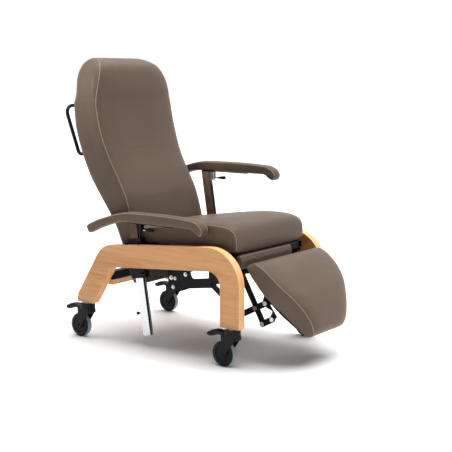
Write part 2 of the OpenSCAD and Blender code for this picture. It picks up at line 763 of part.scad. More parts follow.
module arm_plate(side) {
  ear = rounded([[477, arm_under_z - 3, 0], [477, 482, 9], [482, 471, 9], [495, 471, 6],
    [498, 478, 5], [498, arm_under_z - 3, 0]]);
  color(steel) arm_place(side) {
    translate([arm_pad_x - 14, 300, arm_under_z - arm_plate_t]) cube([28, 240, arm_plate_t]);
    translate([post_x - 14, 470, arm_under_z - arm_plate_t]) cube([28, 70, arm_plate_t]);
    for (x = [post_x - bracket_w, post_x + bracket_w - 3]) along_x(x, 3) polygon(ear);
    rod_x(lever_pivot, lever_pin_d / 2, post_x - bracket_w, post_x + bracket_w);
  }
}

// Stations from rear to front: lower point, upper point, change of half width
arm_stations = [for (s = [
  [755, 453, 762, 474, -8], [748, 450, 759, 483, -3], [698, 474, 706, 506, 0], [640, 495, 650, 524, 0],
  [585, 510, 597, 540, 0], [540, 514, 545, 550, 0], [500, 514, 500, 553, 0], [420, 514, 420, 554, 0],
  [330, 514, 330, 554, 0], [205, 514, 205, 549, 0], [186, 502, 175, 543, 0],
  [172, 494, 154, 530, -1], [161, 489, 144, 512, -3], [154, 491, 146, 502, -8]])
  [s[0] + 3, s[1], s[2] + 3, s[3], s[4]]];

module arm_pad(side) {
  color(leather) arm_place(side) loft([for (s = smoothed(arm_stations, 2))
    pad_ring([s[0], s[1] + soft_gap], [s[2], s[3]], arm_pad_w / 2 + s[4], x0 = arm_pad_x,
      crown = 2.5, pinch = 0.02, square = 0.36, n = 16)]);
}

module arm_lever(side) {
  grip = rounded([[0, 0, 0], [3.6, 0, 1], [7.5, 26, 12], [7.5, 40, 6], [3, 44, 2], [0, 44, 0]]);
  hub_w = bracket_w - 3.3;
  color(steel) arm_place(side) difference() {
    union() {
      rod_x(lever_pivot, 6, post_x - hub_w, post_x + hub_w);
      translate([post_x, lever_pivot.x, lever_pivot.y]) rotate([87, 0, 0]) {
        cylinder(d = 6, h = 30);
        translate([0, 0, 28]) rotate_extrude() polygon(grip);
      }
    }
    rod_x(lever_pivot, lever_pin_d / 2 + pin_gap, post_x - 20, post_x + 20);
  }
}

// The cable runs up in the groove of the post's front and ends under the lever
module release_cable(side) {
  color("#2c2c2c") arm_place(side) at_post()
    translate([post_x, cable_y, post_low + 18]) cylinder(d = cable_d, h = cable_len);
}

// Bolts that hold the sleeves to the wood
module frame_bolts() {
  color(bright) placed() both_sides() at_post() for (p = sleeve_bolts) {
    translate([inner_x - sleeve_w - bolt_head_t, p.x, p.y]) rotate([0, 90, 0]) {
      cylinder(d = 13, h = bolt_head_t, $fn = 6);
      cylinder(d = bolt_d, h = bolt_head_t + sleeve_w + bolt_hold - 1);
    }
  }
}

// Casters

caster_x = inner_x + frame_t / 2;
stem_hold = 42;
crown_d = 62;
crown_low = 126;
collar_t = 3;
fork_in = tyre_w / 2 + 3;
cheek_w = 3;
axle_d = 10;
axle_z = wheel_d / 2;
pedal_pin = [33, 128];
pedal_pin_d = 5;

module at_caster(side, y) {
  on_floor() on_side(side) translate([caster_x, y, 0]) children();
}

module caster_stems() {
  color(bright) for (side = [right, left]) for (y = [stem_y_front, stem_y_rear])
    at_caster(side, y) {
      translate([0, 0, crown_low + 2]) cylinder(d = stem_d, h = foot_h + stem_hold - crown_low - 2);
      translate([0, 0, foot_h - collar_t]) cylinder(d = 40, h = collar_t);
    }
}

module caster_fork(side, y) {
  cheek = rounded([[-22, crown_low + 10, 0], [-24, crown_low - 12, 24],
    [caster_trail - 17, axle_z - 4, 14], [caster_trail + 3, axle_z - 18, 11],
    [caster_trail + 18, axle_z + 2, 14], [40, 108, 24], [pedal_pin.x + 9, pedal_pin.y - 8, 7],
    [pedal_pin.x + 9, pedal_pin.y + 8, 7], [24, pedal_pin.y + 11, 0]]);
  color(steel) at_caster(side, y) difference() {
    union() {
      translate([0, 0, crown_low]) cylinder(d = crown_d, h = foot_h - collar_t - 0.5 - crown_low);
      for (x = [-fork_in - cheek_w, fork_in]) along_x(x, cheek_w) polygon(cheek);
      along_x(-fork_in, 2 * fork_in) polygon(rounded([[-24, crown_low + 8, 0], [-30, 108, 8],
        [-20, 106, 4], [-8, 112, 4], [24, 112, 4], [30, crown_low + 8, 0]]));
      rod_x([caster_trail, axle_z], axle_d / 2, -fork_in - cheek_w - 4, fork_in + cheek_w + 4);
    }
    translate([0, 0, 100]) cylinder(r = stem_d / 2 + pin_gap, h = 100);
    translate([-17.5, 21, 118]) cube([35, 60, 60]);
  }
  color(steel) at_caster(side, y) rod_x(pedal_pin, pedal_pin_d / 2, -fork_in - 1, fork_in + 1);
}

module caster_wheel(side, y) {
  hub = [[axle_d / 2 + pin_gap, -tyre_w / 2 - 2], [14, -tyre_w / 2 - 2], [16, -tyre_w / 2 + 4],
    [30, -tyre_w / 2 + 5], [34, -tyre_w / 2 + 1], [39, -tyre_w / 2 + 1], [39, tyre_w / 2 - 1],
    [34, tyre_w / 2 - 1], [30, tyre_w / 2 - 5], [16, tyre_w / 2 - 4], [14, tyre_w / 2 + 2],
    [axle_d / 2 + pin_gap, tyre_w / 2 + 2]];
  color("#1f2022") at_caster(side, y) translate([0, caster_trail, axle_z]) rotate([0, 90, 0])
    rotate_extrude() polygon(hub);
}

module caster_tyre(side, y) {
  tread = rounded([[39, -tyre_w / 2, 1], [wheel_d / 2, -tyre_w / 2, 9],
    [wheel_d / 2, tyre_w / 2, 9], [39, tyre_w / 2, 1]]);
  color("#6f7f8d") at_caster(side, y) translate([0, caster_trail, axle_z]) rotate([0, 90, 0])
    rotate_extrude() polygon(tread);
}

module caster_pedal(side, y) {
  tongue = rounded([[28, 122, 4], [28, 134, 5], [70, 140, 40], [107, 129, 4], [104, 119, 4], [66, 126, 30]]);
  color(steel) at_caster(side, y) difference() {
    along_x(-16, 32) polygon(tongue);
    translate([-40, 70, 0]) difference() {
      cube([80, 80, 200]);
      translate([40, 13, 0]) cylinder(d = 44, h = 200);
      translate([18, -30, 0]) cube([44, 44, 200]);
    }
    rod_x(pedal_pin, pedal_pin_d / 2 + pin_gap, -20, 20);
  }
}

side_frame(right);  // side_frame_right
side_frame(left);  // side_frame_left
rear_wood_rail();
rear_cross_tube();
front_cross_tube();
middle_cross_tube();
link_plate(right);  // link_plate_right
link_plate(left);  // link_plate_left
seat_frame();
seat_board();
seat_cushion();
seat_front_panel();
post_sleeve(right);  // post_sleeve_right
post_sleeve(left);  // post_sleeve_left
caster_stems();
frame_bolts();
back_pivot_pins();
back_frame();
back_board();
back_cover();
back_cushion();
push_bar();
long_link(right);  // long_link_right
long_link(left);  // long_link_left
cross_links();
control_links();
pad_links();
leg_rest_frame();
leg_rest_pad();
gas_spring_cylinder();
gas_spring_rod();
arm_post(right);  // arm_post_right
arm_post(left);  // arm_post_left
arm_plate(right);  // arm_plate_right
arm_plate(left);  // arm_plate_left
arm_pad(right);  // arm_pad_right
arm_pad(left);  // arm_pad_left
arm_stop_bolt(right);  // arm_stop_bolt_right
arm_stop_bolt(left);  // arm_stop_bolt_left
arm_lever(right);  // arm_lever_right
arm_lever(left);  // arm_lever_left
release_cable(right);  // release_cable_right
release_cable(left);  // release_cable_left
caster_fork(right, stem_y_front);  // caster_fork_front_right
caster_fork(left, stem_y_front);  // caster_fork_front_left
caster_fork(right, stem_y_rear);  // caster_fork_rear_right
caster_fork(left, stem_y_rear);  // caster_fork_rear_left
caster_wheel(right, stem_y_front);  // caster_wheel_front_right
caster_wheel(left, stem_y_front);  // caster_wheel_front_left
caster_wheel(right, stem_y_rear);  // caster_wheel_rear_right
caster_wheel(left, stem_y_rear);  // caster_wheel_rear_left
caster_tyre(right, stem_y_front);  // caster_tyre_front_right
caster_tyre(left, stem_y_front);  // caster_tyre_front_left
caster_tyre(right, stem_y_rear);  // caster_tyre_rear_right
caster_tyre(left, stem_y_rear);  // caster_tyre_rear_left
caster_pedal(right, stem_y_front);  // caster_pedal_front_right
caster_pedal(left, stem_y_front);  // caster_pedal_front_left
caster_pedal(right, stem_y_rear);  // caster_pedal_rear_right
caster_pedal(left, stem_y_rear);  // caster_pedal_rear_left
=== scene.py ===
"""The looks of a reclining care chair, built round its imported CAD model.

Each operator makes one group of pieces, such as the seat cushion or the casters, from the
settings in its property group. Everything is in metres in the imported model's own frame: the
chair faces -Y and the floor is at Z = 0. Profiles are typed in millimetres in the chair's own
measure, in which the front casters' stems stand at Y = -3, and place() moves them over.
"""

import math

import bmesh
import bpy
from bpy.props import FloatProperty, FloatVectorProperty, IntProperty, PointerProperty
from mathutils import Euler, Matrix, Vector
from mathutils.bvhtree import BVHTree
from mathutils.kdtree import KDTree


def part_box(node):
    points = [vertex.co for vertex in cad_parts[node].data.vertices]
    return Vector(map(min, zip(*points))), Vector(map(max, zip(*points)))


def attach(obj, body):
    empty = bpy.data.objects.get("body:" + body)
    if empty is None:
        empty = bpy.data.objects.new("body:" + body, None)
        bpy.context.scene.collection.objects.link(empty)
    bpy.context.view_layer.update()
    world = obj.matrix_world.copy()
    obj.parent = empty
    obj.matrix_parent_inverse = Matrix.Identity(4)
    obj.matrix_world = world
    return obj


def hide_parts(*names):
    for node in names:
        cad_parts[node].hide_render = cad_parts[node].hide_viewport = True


bl_info = {
    "name": "Reclining care chair",
    "version": (1, 0, 0),
    "blender": (4, 5, 0),
    "location": "3D View > Sidebar > Chair",
    "description": "Upholstery, wood, metalwork and studio for a reclining care chair",
    "category": "Object",
}

MM = 0.001
MID_Y = 356  # the chair's middle, from the front stems' zero, in mm
SIDES = {"right": -1, "left": 1}
CORNERS = [(end, side) for end in ("front", "rear") for side in ("right", "left")]

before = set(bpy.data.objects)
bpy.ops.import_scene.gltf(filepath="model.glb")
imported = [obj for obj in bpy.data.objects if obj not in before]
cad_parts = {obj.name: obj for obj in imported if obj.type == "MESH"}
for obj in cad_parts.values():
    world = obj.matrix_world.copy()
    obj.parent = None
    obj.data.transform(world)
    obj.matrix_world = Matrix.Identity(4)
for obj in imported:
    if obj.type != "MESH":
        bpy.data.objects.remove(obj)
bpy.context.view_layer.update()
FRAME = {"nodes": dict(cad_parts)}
KIT = {}  # the materials, made once


# Settings

def colour_property(name, description, code):
    """A colour setting whose default is an sRGB hex code."""
    return FloatVectorProperty(name=name, description=description, subtype="COLOR",
                               size=3, min=0, max=1, default=linear(code)[:3])


def linear(code):
    """An sRGB hex code as a linear RGBA colour."""
    parts = [int(code[i:i + 2], 16) / 255 for i in (1, 3, 5)]
    return tuple(p / 12.92 if p <= 0.04045 else ((p + 0.055) / 1.055) ** 2.4
                 for p in parts) + (1.0,)


class UpholsterySettings(bpy.types.PropertyGroup):
    """Leatherette, its stuffing and its seams."""
    face: colour_property("Face", "Leatherette of the sat-on sides", "#62544a")
    # The piping is painted lighter than the face, as a highlight along the seams
    seam: colour_property("Seam", "Leatherette of the piping in the seams", "#8f8075")
    voxel: FloatProperty(name="Cloth cell", description="Size of the cloth's cells",
                         default=0.006, min=0.004, max=0.006, unit="LENGTH", subtype="DISTANCE")
    pressure: FloatProperty(name="Stuffing", description="Pressure of the stuffing",
                            default=4.0, min=0.5, max=8.0)
    limit: FloatProperty(name="Swelling limit",
                         description="Farthest that the stuffing moves a point",
                         default=0.024, min=0.005, max=0.03, unit="LENGTH", subtype="DISTANCE")
    piping: FloatProperty(name="Piping", description="Radius of the piping in the seams",
                          default=0.0021, min=0.0008, max=0.004, unit="LENGTH", subtype="DISTANCE")


class WoodSettings(bpy.types.PropertyGroup):
    """Varnished beech of the side frames."""
    light: colour_property("Light grain", "Light wood between the growth rings", "#d2985c")
    dark: colour_property("Dark grain", "Dark wood of the growth rings", "#b6753a")
    rim: colour_property("Rim", "Wood on the narrow faces", "#fbbe80")
    rounding: FloatProperty(name="Rounding", description="Radius of the wood's edges",
                            default=0.0032, min=0.0005, max=0.008,
                            unit="LENGTH", subtype="DISTANCE")


class MetalSettings(bpy.types.PropertyGroup):
    """Painted and bright metal parts."""
    paint: colour_property("Paint", "Powder coat of the linkage and the tubes", "#0e0e0f")
    silver: colour_property("Aluminium", "Anodised aluminium of the armrest posts", "#d3d6d8")
    zinc: colour_property("Zinc", "Zinc plate of bolts and pins", "#c9ccce")
    rounding: FloatProperty(name="Rounding", description="Radius of the metal's edges",
                            default=0.0007, min=0.0002, max=0.003,
                            unit="LENGTH", subtype="DISTANCE")


class CasterSettings(bpy.types.PropertyGroup):
    """Nylon, rubber and brake pedals of the casters."""
    shell: colour_property("Shell", "Nylon of the forks, pedals and wheels", "#1a1b1b")
    tread: colour_property("Tread", "Rubber of the tyres", "#9aa7b1")
    tread_width: FloatProperty(name="Pedal width", description="Width of a brake pedal's tread",
                               default=0.036, min=0.02, max=0.05, unit="LENGTH", subtype="DISTANCE")
    ribs: IntProperty(name="Pedal ribs", description="Ribs across a brake pedal",
                      default=4, min=0, max=5)


class StudioSettings(bpy.types.PropertyGroup):
    """Floor, lights and camera."""
    floor: colour_property("Floor", "Pale studio floor", "#f6f6f5")
    around: FloatProperty(name="Surround", description="Light of the studio round the chair",
                          default=0.9, min=0, max=3)
    above: FloatProperty(name="Overhead", description="Strength of the overhead light",
                         default=3.7, min=0, max=20)
    head: FloatProperty(name="Head light", description="Power of the lamp on the head's side",
                        default=55.0, min=0, max=300, unit="POWER")
    lens: FloatProperty(name="Lens", description="Focal length of the camera", default=0.08146,
                        min=0.02, max=0.3, unit="LENGTH", subtype="DISTANCE")


# Geometry

SHARP = 32  # angle in degrees from which an edge is rounded


def place(x, y, z):
    """A point of the chair's own measure in mm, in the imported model's frame in metres."""
    return Vector((x * MM, (y - MID_Y) * MM, z * MM))


def settings(name):
    """The settings of that group, from the scene."""
    return getattr(bpy.context.scene, "chair_" + name)


def linked(name, data):
    """A new object with that data, in the scene."""
    obj = bpy.data.objects.new(name, data)
    bpy.context.scene.collection.objects.link(obj)
    return obj


def add_mesh(name, vertices, faces):
    """A new object with a mesh of those points and flat faces."""
    mesh = bpy.data.meshes.new(name)
    mesh.from_pydata(vertices, [], faces)
    mesh.update()
    return linked(name, mesh)


def from_shape(name, shape):
    """A new object with the bmesh's shape, which is freed."""
    mesh = bpy.data.meshes.new(name)
    shape.to_mesh(mesh)
    shape.free()
    return linked(name, mesh)


def smoothed(mesh):
    """The mesh, with smooth shading on all of its faces."""
    mesh.polygons.foreach_set("use_smooth", [True] * len(mesh.polygons))
    return mesh


def finished(obj, body, material):
    """Gives the piece its material and the body it rides on."""
    obj.data.materials.clear()
    obj.data.materials.append(material)
    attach(obj, body)


def evaluated(obj):
    """The object's mesh with its modifiers, as a new mesh."""
    graph = bpy.context.evaluated_depsgraph_get()
    return bpy.data.meshes.new_from_object(obj.evaluated_get(graph))


def bake(obj):
    """Puts the modifiers' result into the object's own mesh."""
    mesh = evaluated(obj)
    obj.modifiers.clear()
    obj.data = smoothed(mesh)


def round_edges(obj, radius, steps=2):
    """Rounds the sharp edges, with modifiers only."""
    smoothed(obj.data)
    if "custom_normal" in obj.data.attributes:
        obj.data.attributes.remove(obj.data.attributes["custom_normal"])
    weld = obj.modifiers.new("Weld", "WELD")
    weld.merge_threshold = 1e-6
    bevel = obj.modifiers.new("Rounded edges", "BEVEL")
    bevel.width = radius
    bevel.segments = steps
    bevel.angle_limit = math.radians(SHARP)
    bevel.miter_outer = "MITER_ARC"
    even = obj.modifiers.new("Even shading", "WEIGHTED_NORMAL")
    even.weight = 80
    return obj


def spread(points, step):
    """Points along a polyline, one every step."""
    out, carried = [points[0].copy()], 0.0
    for a, b in zip(points, points[1:]):
        length = (b - a).length
        while length > 1e-9 and carried + length >= step:
            a = a.lerp(b, (step - carried) / length)
            length = (b - a).length
            carried = 0.0
            out.append(a.copy())
        carried += length
    return out


def smooth_line(points):
    """The line with its corners cut twice; its ends stay."""
    for _ in range(2):
        out = [points[0]]
        for a, b in zip(points, points[1:]):
            out += [a.lerp(b, 0.25), a.lerp(b, 0.75)]
        points = out + [points[-1]]
    return points


def tube(name, lines, radius):
    """Round cord along each line, as one mesh object."""
    data = bpy.data.curves.new(name, "CURVE")
    data.dimensions = "3D"
    data.bevel_depth = radius
    data.bevel_resolution = 3
    data.use_fill_caps = True
    for line in lines:
        spline = data.splines.new("POLY")
        spline.points.add(len(line) - 1)
        for point, at in zip(spline.points, line):
            point.co = (*at, 1)
    curve = linked(name, data)
    mesh = evaluated(curve)
    mesh.name = name
    bpy.data.objects.remove(curve)
    bpy.data.curves.remove(data)
    return linked(name, smoothed(mesh))


def extruded(name, outline, x0, x1):
    """A solid with that outline in Y and Z, between two values of X."""
    count = len(outline)
    points = [(x, y, z) for x in (x0, x1) for y, z in outline]
    faces = [list(range(count))[::-1], list(range(count, 2 * count))]
    faces += [(i, (i + 1) % count, count + (i + 1) % count, count + i) for i in range(count)]
    obj = add_mesh(name, points, faces)
    shape = bmesh.new()
    shape.from_mesh(obj.data)
    bmesh.ops.recalc_face_normals(shape, faces=shape.faces)
    shape.to_mesh(obj.data)
    shape.free()
    return obj


def joined(name, parts):
    """One object from several, with their modifiers applied."""
    shape = bmesh.new()
    for part in parts:
        shape.from_mesh(evaluated(part))
        bpy.data.objects.remove(part)
    return from_shape(name, shape)


# Upholstery

# In metres: from point to point of a seam that is laid on a cushion, what the smoothing takes off
# a rounded edge of the cells, and how far inside its own shape a cover starts
STITCH, SMOOTHING_LOSS, SLACK = 0.004, 0.0015, 0.001
RISE_KEPT = 0.5  # share of the cloth's rise that a cover keeps
# Leatherette over foam, for the cloth solver, and the number of frames that it runs
CLOTH = {"quality": 5, "mass": 0.35, "tension_stiffness": 22, "compression_stiffness": 22,
         "shear_stiffness": 12, "bending_stiffness": 1.2, "use_pressure": True}
CLOTH_FRAMES = 20


def edge_lines(profile, half_width, middle=0.0, lift=(0, 0)):
    """The seam lines of a padded piece, one per side. The profile has rows of Y, Z and the
    change of half width, in mm; lift moves it in Y and Z."""
    lines = []
    for side in SIDES.values():
        line = [place(middle + side * (half_width + row[2]), row[0] + lift[0], row[1] + lift[1])
                for row in profile]
        lines.append(smooth_line(line))
    return lines


def snapped(lines, obj, sink=0.0):
    """The lines laid on the nearest surface of the object, sunk by that much and evened out."""
    tree = BVHTree.FromObject(obj, bpy.context.evaluated_depsgraph_get())
    out = []
    for line in lines:
        laid = []
        for point in spread(line, STITCH):
            at, normal, _, _ = tree.find_nearest(point)
            laid.append(at - normal * sink)
        for _ in range(3):
            laid = [laid[0]] + [(a + 2 * b + c) / 4 for a, b, c in
                                zip(laid, laid[1:], laid[2:])] + [laid[-1]]
        out.append(laid)
    return out


def copy_of(name, nodes, fill=()):
    """One new object with the meshes of those CAD nodes. Fill has rows of a node, a vector and a
    factor, each a copy of the node that is moved and narrowed by them to close a gap."""
    shape = bmesh.new()
    for node, vector, narrower in fill:
        earlier = set(shape.verts)
        shape.from_mesh(FRAME["nodes"][node].data)
        added = [v for v in shape.verts if v not in earlier]
        bmesh.ops.translate(shape, verts=added, vec=vector)
        bmesh.ops.scale(shape, verts=added, vec=(narrower, 1, 1))
    for node in nodes:
        shape.from_mesh(FRAME["nodes"][node].data)
    bmesh.ops.remove_doubles(shape, verts=shape.verts, dist=1e-6)
    return from_shape(name, shape)


def surface_of(node):
    """The surface of a CAD node, as a tree to measure distances from."""
    mesh = FRAME["nodes"][node].data
    return BVHTree.FromPolygons([v.co.copy() for v in mesh.vertices],
                                [list(f.vertices) for f in mesh.polygons])


def swell(obj, held, pressure, limit):
    """Blows the cover up from inside with the cloth solver; the points in held stay put."""
    start = [v.co.copy() for v in obj.data.vertices]
    normals = [v.normal.copy() for v in obj.data.vertices]
    group = obj.vertex_groups.new(name="sewn")
    group.add(sorted(held), 1.0, "REPLACE")
    free = [i for i in range(len(start)) if i not in held]
    for i in free:
        obj.data.vertices[i].co = start[i] - normals[i] * SLACK
    cloth = obj.modifiers.new("Stuffing", "CLOTH")
    for name, value in CLOTH.items():
        setattr(cloth.settings, name, value)
    cloth.settings.uniform_pressure_force = pressure
    cloth.settings.vertex_group_mass = "sewn"
    cloth.settings.effector_weights.gravity = 0
    cloth.point_cache.frame_start = 1
    cloth.point_cache.frame_end = CLOTH_FRAMES
    scene = bpy.context.scene
    for tick in range(1, CLOTH_FRAMES + 1):
        scene.frame_set(tick)
    result = evaluated(obj)
    moved = [v.co.copy() for v in result.vertices]
    bpy.data.meshes.remove(result)
    obj.modifiers.clear()
    scene.frame_set(1)
    for i, vertex in enumerate(obj.data.vertices):
        # Outward only, so that a swelling face doesn't pull its neighbours in
        rise = max(0.0, (moved[i] - start[i]).dot(normals[i])) * RISE_KEPT
        vertex.co = start[i] + normals[i] * min(rise, limit)
    # The steps of the cells are evened out between the seams
    even = obj.modifiers.new("Evened", "SMOOTH")
    even.factor = 0.5
    even.iterations = 12
    even.vertex_group = "sewn"
    even.invert_vertex_group = True


def stuffed(name, nodes, seams, voxel, limit, hold=0.007, firm=(), fill=()):
    """A soft piece from CAD nodes: remeshed, stuffed between its seams and smoothed. It stays put
    within hold of a seam, and over the nodes in firm, where it is stretched over a shell."""
    obj = copy_of(name, nodes, fill)
    remesh = obj.modifiers.new("Cells", "REMESH")
    remesh.mode = "VOXEL"
    remesh.voxel_size = voxel
    relax = obj.modifiers.new("Relaxed", "SMOOTH")
    relax.factor = 0.5
    relax.iterations = 3
    regained = obj.modifiers.new("Regained", "DISPLACE")
    regained.mid_level = 0
    regained.strength = SMOOTHING_LOSS
    bake(obj)
    sewn = [point for line in snapped(seams, obj) for point in line]
    tree = KDTree(len(sewn))
    for count, point in enumerate(sewn):
        tree.insert(point, count)
    tree.balance()
    held = {v.index for v in obj.data.vertices if tree.find(v.co)[2] < hold}
    for shell in map(surface_of, firm):
        held |= {v.index for v in obj.data.vertices if shell.find_nearest(v.co)[3] < voxel}
    swell(obj, held, settings("upholstery").pressure, limit)
    smooth = obj.modifiers.new("Fine", "SUBSURF")
    smooth.levels = smooth.render_levels = 1
    bake(obj)
    obj.vertex_groups.clear()
    return obj


def sew(obj, name, seams, body):
    """Piping in the seams of a soft piece, sunk into it by about a third of its radius."""
    radius = settings("upholstery").piping
    laid = snapped(seams, obj, radius * 0.35)
    finished(tube(name, laid, radius), body, material_kit()["seam"])


# Materials

# Heights in metres over which the posts' sides take a painted reflection of the upholstery
REFLECTION_PAINTED_FROM, REFLECTION_PAINTED_TO = 0.28, 0.4


def add(material, kind, inputs=(), stops=(), out=0, **attributes):
    """Adds a shader node with its attributes and gives one of its outputs, or with None the node.
    Inputs are values, or outputs to link from; stops are a colour ramp's positions and colours."""
    made = material.node_tree.nodes.new(kind)
    for name, value in attributes.items():
        setattr(made, name, value)
    for count, (position, colour) in enumerate(stops):
        elements = made.color_ramp.elements
        element = elements[count] if count < len(elements) else elements.new(position)
        element.position, element.color = position, colour
    for name, value in dict(inputs).items():
        socket = made.inputs[name]
        if isinstance(value, bpy.types.NodeSocket):
            material.node_tree.links.new(value, socket)
        else:
            socket.default_value = value
    return made if out is None else made.outputs[out]


def new_material(name):
    """An empty material, and the chair's own coordinates in metres."""
    made = bpy.data.materials.new(name)
    made.use_nodes = True
    made.node_tree.nodes.clear()
    return made, add(made, "ShaderNodeTexCoord", out="Object")


def cycles(size):
    """The texture scale at which a pattern repeats about every so many mm."""
    return 1 / (size * MM)


def grey(value):
    """That grey as a linear RGBA colour."""
    return (value, value, value, 1)


def shade(colour, factor):
    """The colour, lighter or darker."""
    return tuple(min(1.0, c * factor) for c in colour[:3]) + (1.0,)


def ramp(material, factor, *stops):
    """Colours along a factor from 0 to 1; each stop is a place on it and its colour."""
    return add(material, "ShaderNodeValToRGB", {"Fac": factor}, stops)


def noise(material, vector, scale, detail, roughness=0.5, distortion=0):
    """Cloudy noise from 0 to 1."""
    return add(material, "ShaderNodeTexNoise", {
        "Vector": vector, "Scale": scale, "Detail": detail, "Roughness": roughness,
        "Distortion": distortion})


def stretched(material, vector, scale):
    """The coordinates, scaled along each axis."""
    return add(material, "ShaderNodeMapping", {"Vector": vector, "Scale": scale})


def blend(material, factor, first, second):
    """A colour that goes from the first to the second with the factor."""
    return add(material, "ShaderNodeMix", {0: factor, 6: first, 7: second},
               data_type="RGBA", out=2)


def relief(material, height, depth, strength, **inputs):
    """A relief with the pattern in height, at most depth mm deep."""
    return add(material, "ShaderNodeBump", {
        "Height": height, "Distance": depth * MM, "Strength": strength, **inputs})


def surfaced(material, inputs):
    """The material, with a principled shader that has those inputs."""
    shader = add(material, "ShaderNodeBsdfPrincipled", inputs)
    add(material, "ShaderNodeOutputMaterial", {"Surface": shader}, out=None)
    return material


def leatherette(name, colour, gloss=0.4):
    """Pressed PVC leatherette on foam: a pebbled grain that breaks up the highlights, and soft
    creases and clouds that keep the large faces from looking flat."""
    made, at = new_material(name)
    cloud = noise(made, at, cycles(110), 3, 0.55)
    pebbles = add(made, "ShaderNodeTexVoronoi", {"Vector": at, "Scale": cycles(1.3)}, feature="F1")
    creases = noise(made, at, cycles(22), 4, 0.6, 0.4)
    return surfaced(made, {
        "Base Color": ramp(made, cloud, (0.3, shade(colour, 0.97)), (0.7, shade(colour, 1.03))),
        "Roughness": ramp(made, creases, (0.35, grey(gloss - 0.05)), (0.7, grey(gloss + 0.06))),
        "Specular IOR Level": 0.08, "Sheen Weight": 0.4, "Sheen Roughness": 0.4,
        "Sheen Tint": linear("#d8c8b8"),
        "Normal": relief(made, pebbles, 0.12, 0.6, Normal=relief(made, creases, 0.3, 0.3))})


def varnished_beech(name, light, dark, rim):
    """Varnished beech board: long figure and fine lines along the beam, short dark flecks, and
    lighter narrow faces."""
    made, at = new_material(name)
    # Wide figure of about 330 by 450 by 67 mm, lines of 2.4 mm and flecks of about 1 by 11 mm
    figure = noise(made, stretched(made, at, (3, 2.2, 15)), 1, 5, 0.55, 1.6)
    lines = noise(made, stretched(made, at, (60, 7, cycles(2.4))), 1, 3, 0.6, 0.5)
    flecks = noise(made, stretched(made, at, (500, 90, cycles(1.1))), 1, 1, 0.4)
    wide = ramp(made, figure, (0.3, dark), (0.52, light), (0.72, shade(light, 1.05)))
    fine = ramp(made, lines, (0.35, shade(dark, 0.85)), (0.6, light))
    flecked = ramp(made, flecks, (0.66, grey(0)), (0.74, grey(0.45)))
    body = blend(made, flecked, blend(made, 0.34, wide, fine), shade(dark, 0.62))
    edge = ramp(made, lines, (0.3, shade(rim, 0.93)), (0.7, shade(rim, 1.04)))
    # The varnish leaves the pores faintly open and the gloss slightly uneven
    return surfaced(made, {
        "Base Color": blend(made, side_faces(made), edge, body),
        "Coat Weight": 0.2, "Coat Roughness": 0.24,
        "Roughness": ramp(made, lines, (0.3, grey(0.48)), (0.7, grey(0.38))),
        "Normal": relief(made, lines, 0.12, 0.5)})


def side_faces(material):
    """A mask that is 1 on faces towards the chair's sides and 0 on the others."""
    across = add(material, "ShaderNodeSeparateXYZ", {
        "Vector": add(material, "ShaderNodeTexCoord", out="Normal")}, out="X")
    size = add(material, "ShaderNodeMath", {0: across}, operation="ABSOLUTE")
    return ramp(material, size, (0.35, grey(0)), (0.8, grey(1)))


def coated(name, colour, gloss=0.45, texture=1.1, depth=0.06, dust=1.3):
    """Powder-coated steel or moulded nylon or rubber: one tone whose fine peel or moulded texture,
    of texture by depth mm, dulls the highlights, with paler patches where dust took the gloss."""
    made, at = new_material(name)
    worn = noise(made, at, cycles(42), 4, 0.6)
    return surfaced(made, {
        "Base Color": ramp(made, worn, (0.35, shade(colour, 0.86)), (0.78, shade(colour, dust))),
        "Roughness": ramp(made, worn, (0.3, grey(gloss - 0.05)), (0.78, grey(gloss + 0.11))),
        "Specular IOR Level": 0.12,
        "Normal": relief(made, noise(made, at, cycles(texture), 2), depth, 0.6)})


def bright_metal(name, colour, gloss=0.25, along=(1, 1, 1), painted_reflection=None):
    """Bare or plated metal with drawing lines along one direction and faint handling smudges. Given a
    colour, the side faces beside the upholstery get a painted reflection of it in that colour."""
    made, at = new_material(name)
    drawn = noise(made, stretched(made, at, along), cycles(1.4), 2)
    smudge = noise(made, at, cycles(33), 3, 0.6)
    tone = ramp(made, smudge, (0.3, shade(colour, 0.93)), (0.8, colour))
    # The side faces above those heights get the given colour as a painted reflection of the upholstery
    if painted_reflection:
        height = add(made, "ShaderNodeSeparateXYZ", {"Vector": at}, out="Z")
        high = ramp(made, height, (REFLECTION_PAINTED_FROM, grey(0)), (REFLECTION_PAINTED_TO, grey(1)))
        beside = add(made, "ShaderNodeMath", {0: side_faces(made), 1: high}, operation="MULTIPLY")
        tone = blend(made, beside, tone, linear(painted_reflection))
    return surfaced(made, {
        "Base Color": tone, "Metallic": 1.0,
        "Roughness": ramp(made, smudge, (0.3, grey(gloss - 0.06)), (0.75, grey(gloss + 0.08))),
        "Normal": relief(made, drawn, 0.02, 0.4)})


